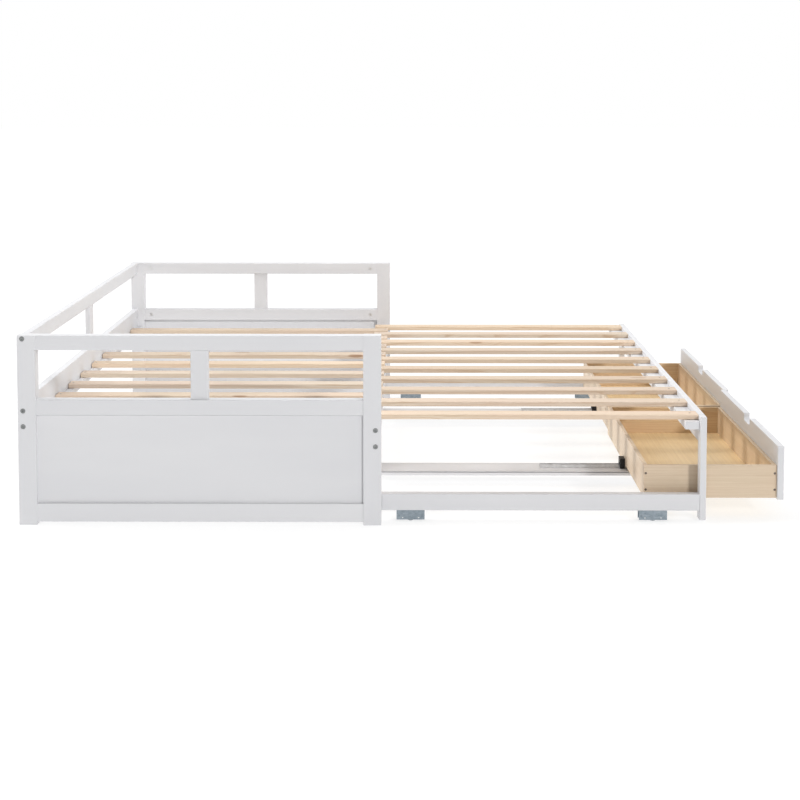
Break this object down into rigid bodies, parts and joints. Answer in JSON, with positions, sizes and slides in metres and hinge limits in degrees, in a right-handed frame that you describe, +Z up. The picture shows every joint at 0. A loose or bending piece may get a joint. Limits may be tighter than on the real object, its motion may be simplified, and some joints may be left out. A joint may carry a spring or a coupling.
{
  "type": "extending daybed frame",
  "caption": "White wooden daybed frame with open-topped end panels, a low back, a rolling pull-out half with interleaving slats, and storage drawers underneath.",
  "frame": {"origin": "on the floor, at the centre of the box of the open bed, with the pull-out and both drawers out", "axes": "+X from the back of the bed to the drawers, +Y along the bed from its left end to its right end as seen from the front, +Z up"},
  "size_m": [2.297, 2.02, 0.567],
  "materials": {
    "white_paint": "satin white paint over pine",
    "pine": "planed, unfinished pine",
    "box_pine": "planed, clear-sealed pine",
    "plywood": "clear-sealed plywood",
    "slide_steel": "zinc-plated steel",
    "zinc_steel": "blue zinc plating",
    "nickel_steel": "dark nickel plating",
    "dark_screw": "phosphated",
    "black_plastic": "moulded",
    "wheel_nylon": "moulded grey nylon"
  },
  "bodies": {
    "fixed_bed": {"left_back_post": "white_paint", "left_front_post": "white_paint", "left_top_rail": "white_paint", "left_window_stile": "white_paint", "left_mid_rail": "white_paint", "left_panel": "white_paint", "left_bottom_rail": "white_paint", "right_back_post": "white_paint", "right_front_post": "white_paint", "right_top_rail": "white_paint", "right_window_stile": "white_paint", "right_mid_rail": "white_paint", "right_panel": "white_paint", "right_bottom_rail": "white_paint", "back_top_rail": "white_paint", "back_low_rail": "white_paint", "back_stile": "white_paint", "back_ledger": "white_paint", "front_stretcher": "white_paint", "fixed_slats": "pine", "fixed_slat_screws": "zinc_steel", "frame_bolts": "nickel_steel", "rail_cams": "slide_steel"},
    "pull_out": {"left_leg": "white_paint", "right_leg": "white_paint", "front_rail": "white_paint", "front_ledger": "white_paint", "left_side_rail": "white_paint", "right_side_rail": "white_paint", "rear_cross_rail": "white_paint", "front_cross_board": "white_paint", "left_runner": "white_paint", "right_runner": "white_paint", "slat_batten": "pine", "left_slide_bar": "slide_steel", "right_slide_bar": "slide_steel", "pull_out_slats": "pine", "pull_out_screws": "dark_screw", "caster_brackets": "zinc_steel", "caster_axles": "zinc_steel"},
    "left_drawer": {"left_drawer_front": "white_paint", "left_drawer_subfront": "box_pine", "left_drawer_back": "box_pine", "left_drawer_left_side": "box_pine", "left_drawer_right_side": "box_pine", "left_drawer_bottom": "plywood", "left_drawer_guide": "black_plastic", "left_drawer_screws": "dark_screw"},
    "right_drawer": {"right_drawer_front": "white_paint", "right_drawer_subfront": "box_pine", "right_drawer_back": "box_pine", "right_drawer_left_side": "box_pine", "right_drawer_right_side": "box_pine", "right_drawer_bottom": "plywood", "right_drawer_guide": "black_plastic", "right_drawer_screws": "dark_screw"},
    "caster_wheel_left_rear": {"wheel_left_rear": "wheel_nylon"},
    "caster_wheel_left_front": {"wheel_left_front": "wheel_nylon"},
    "caster_wheel_right_rear": {"wheel_right_rear": "wheel_nylon"},
    "caster_wheel_right_front": {"wheel_right_front": "wheel_nylon"}
  },
  "joints": [
    {"name": "pull_out_slide", "type": "slide", "parent": "fixed_bed", "child": "pull_out", "axis": [1, 0, 0], "range_m": [-0.91, 0]},
    {"name": "left_drawer_slide", "type": "slide", "parent": "pull_out", "child": "left_drawer", "axis": [1, 0, 0], "range_m": [-0.241, 0.04]},
    {"name": "right_drawer_slide", "type": "slide", "parent": "pull_out", "child": "right_drawer", "axis": [1, 0, 0], "range_m": [-0.251, 0.03]},
    {"name": "wheel_left_rear_spin", "type": "hinge", "parent": "pull_out", "child": "caster_wheel_left_rear", "pos_m": [0.0135, -0.947, 0.015], "axis": [0, 1, 0], "continuous": true},
    {"name": "wheel_left_front_spin", "type": "hinge", "parent": "pull_out", "child": "caster_wheel_left_front", "pos_m": [0.7395, -0.947, 0.015], "axis": [0, 1, 0], "continuous": true},
    {"name": "wheel_right_rear_spin", "type": "hinge", "parent": "pull_out", "child": "caster_wheel_right_rear", "pos_m": [0.0135, 0.947, 0.015], "axis": [0, 1, 0], "continuous": true},
    {"name": "wheel_right_front_spin", "type": "hinge", "parent": "pull_out", "child": "caster_wheel_right_front", "pos_m": [0.7395, 0.947, 0.015], "axis": [0, 1, 0], "continuous": true}
  ]
}
